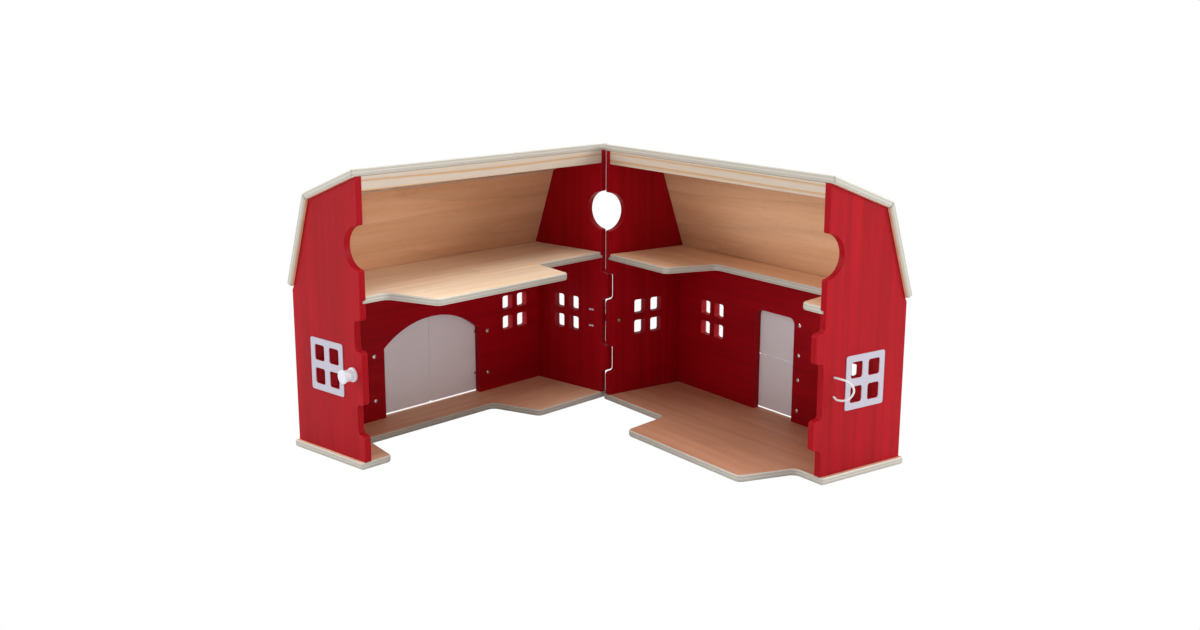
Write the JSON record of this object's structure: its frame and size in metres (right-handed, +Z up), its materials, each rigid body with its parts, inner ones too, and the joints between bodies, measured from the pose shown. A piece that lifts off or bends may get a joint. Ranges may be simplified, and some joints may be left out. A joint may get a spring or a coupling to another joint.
{
  "type": "toy barn",
  "caption": "Folding wooden toy barn whose two halves swing apart on an interlocking tabbed corner, with lofts, windows, arched double doors and a split stable door.",
  "frame": {"origin": "on the fold line, at the underside of the base, where the tab tips of one hinge-end gable meet the outer face of the other", "axes": "+Z up; +X out through the right half's side wall; -Y along the ridge from the folded corner to the open end. The left half is folded open by 78 degrees at rest."},
  "size_m": [0.5728, 0.5912, 0.3564],
  "materials": {
    "red_plywood": "red stain under clear matt lacquer, grain showing",
    "birch_plywood": "clear matt lacquer",
    "pine": "clear matt lacquer",
    "white_door": "white satin paint",
    "white_frame": "white satin",
    "white_knob": "white satin paint",
    "hinge_steel": "satin steel",
    "elastic": "round braided elastic"
  },
  "bodies": {
    "right_half": {"right_floor": "birch_plywood", "right_loft": "birch_plywood", "right_side_wall": "red_plywood", "right_front_gable": "red_plywood", "right_back_gable": "red_plywood", "right_upper_roof": "birch_plywood", "right_lower_roof": "birch_plywood", "right_ridge_beam": "pine", "right_front_window": "white_frame", "right_side_windows": "white_frame", "right_back_window": "white_frame", "stable_wall_hinges": "hinge_steel", "stable_hinge_pins": "hinge_steel", "stable_wall_rivets": "hinge_steel", "rear_knob": "white_knob", "rear_knob_screw": "hinge_steel", "front_loop": "elastic", "front_loop_anchors": "hinge_steel"},
    "left_half": {"left_floor": "birch_plywood", "left_loft": "birch_plywood", "left_side_wall": "red_plywood", "left_front_gable": "red_plywood", "left_back_gable": "red_plywood", "left_upper_roof": "birch_plywood", "left_lower_roof": "birch_plywood", "left_ridge_beam": "pine", "left_front_window": "white_frame", "left_side_window": "white_frame", "left_back_window": "white_frame", "arch_wall_hinges": "hinge_steel", "arch_hinge_pins": "hinge_steel", "arch_wall_rivets": "hinge_steel", "front_knob": "white_knob", "front_knob_screw": "hinge_steel", "rear_loop": "elastic", "rear_loop_anchors": "hinge_steel"},
    "arch_front_door": {"arch_front_leaf": "white_door", "arch_front_hinge_plates": "hinge_steel", "arch_front_rivets": "hinge_steel"},
    "arch_rear_door": {"arch_rear_leaf": "white_door", "arch_rear_hinge_plates": "hinge_steel", "arch_rear_rivets": "hinge_steel"},
    "stable_upper_door": {"stable_upper_leaf": "white_door", "stable_upper_hinge_plates": "hinge_steel", "stable_upper_rivets": "hinge_steel"},
    "stable_lower_door": {"stable_lower_leaf": "white_door", "stable_lower_hinge_plates": "hinge_steel", "stable_lower_rivets": "hinge_steel"}
  },
  "joints": [
    {"name": "fold", "type": "hinge", "parent": "right_half", "child": "left_half", "pos_m": [0, 0, 0], "axis": [0, 0, 1], "range_deg": [0, 78], "deforming": ["rear_loop"]},
    {"name": "stable_upper_hinge", "type": "hinge", "parent": "right_half", "child": "stable_upper_door", "pos_m": [0.1248, -0.2477, 0.119], "axis": [0, 0, -1], "range_deg": [0, 160]},
    {"name": "stable_lower_hinge", "type": "hinge", "parent": "right_half", "child": "stable_lower_door", "pos_m": [0.1248, -0.2477, 0.046], "axis": [0, 0, -1], "range_deg": [0, 160]},
    {"name": "arch_front_hinge", "type": "hinge", "parent": "left_half", "child": "arch_front_door", "pos_m": [-0.32604, 0.08282, 0.069], "axis": [0, 0, 1], "range_deg": [0, 160]},
    {"name": "arch_rear_hinge", "type": "hinge", "parent": "left_half", "child": "arch_rear_door", "pos_m": [-0.14274, 0.12178, 0.069], "axis": [0, 0, -1], "range_deg": [0, 160]}
  ]
}
